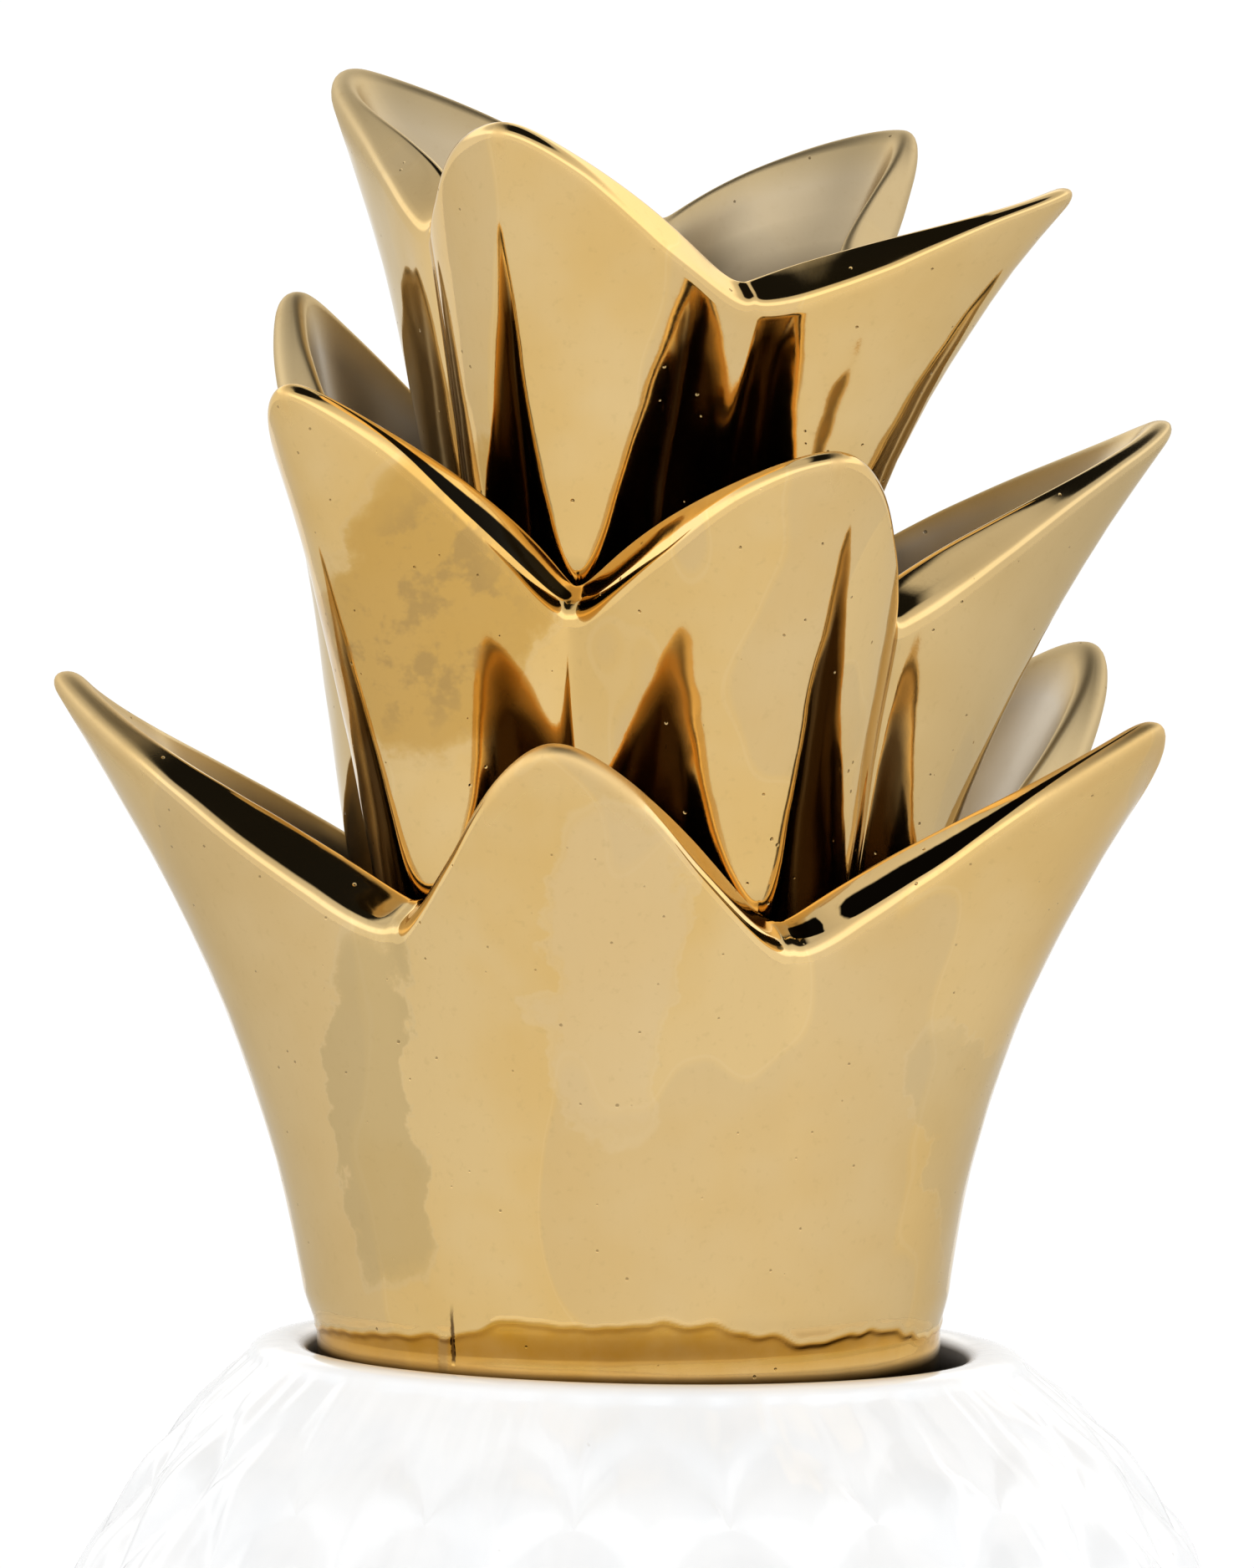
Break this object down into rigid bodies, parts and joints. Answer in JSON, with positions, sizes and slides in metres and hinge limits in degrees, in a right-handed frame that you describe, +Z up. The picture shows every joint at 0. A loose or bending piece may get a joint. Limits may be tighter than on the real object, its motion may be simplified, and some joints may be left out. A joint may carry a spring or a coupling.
{
  "type": "ceramic pineapple jar",
  "caption": "Hollow glazed jar shaped as a pineapple with carved scales, closed by a lift-off crown of nested pointed leaves.",
  "frame": {"origin": "centre of the footprint, on the plane the foot ring stands on", "axes": "+Z up through the jar's axis to the crown, -Y towards the side the picture shows, +X to the picture's right"},
  "size_m": [0.1276, 0.1276, 0.2588],
  "materials": {
    "white_glaze": "gloss",
    "gold_lustre": "polished"
  },
  "bodies": {
    "root": {"jar_body": "white_glaze", "crown_lid": "gold_lustre"}
  },
  "joints": []
}
